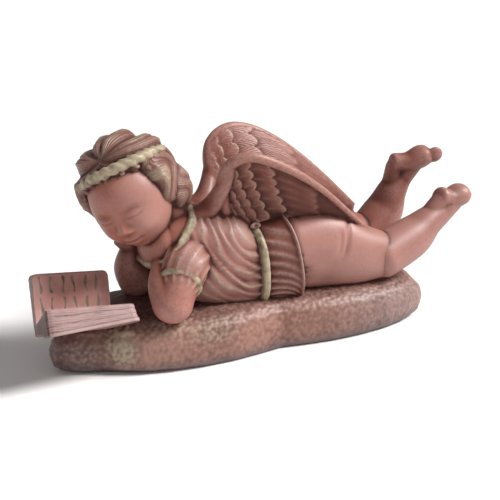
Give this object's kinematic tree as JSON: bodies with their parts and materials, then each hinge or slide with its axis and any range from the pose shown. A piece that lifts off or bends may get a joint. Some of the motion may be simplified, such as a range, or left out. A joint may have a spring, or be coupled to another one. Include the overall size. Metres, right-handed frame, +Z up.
{
  "type": "terracotta angel statue",
  "caption": "Winged child angel lying on its belly on a puffy cloud, chin on its hands, reading an open book; a terracotta garden or shelf statue",
  "frame": {"origin": "centre of the flat underside of the cloud, on the surface that the statue stands on", "axes": "+Z up; +X along the figure from its head to its feet; -Y is the figure's left side, the side seen in the picture"},
  "size_m": [0.4433, 0.1389, 0.1975],
  "materials": {
    "cloud": "matt, pebbled, with antiqued green-gold highlights",
    "figure": "satin terracotta with dark antiquing and rubbed gold trim",
    "book": "satin terracotta with gold strokes on the page"
  },
  "bodies": {
    "root": {"cloud_base": "cloud", "angel_figure": "figure", "book": "book"}
  },
  "joints": []
}
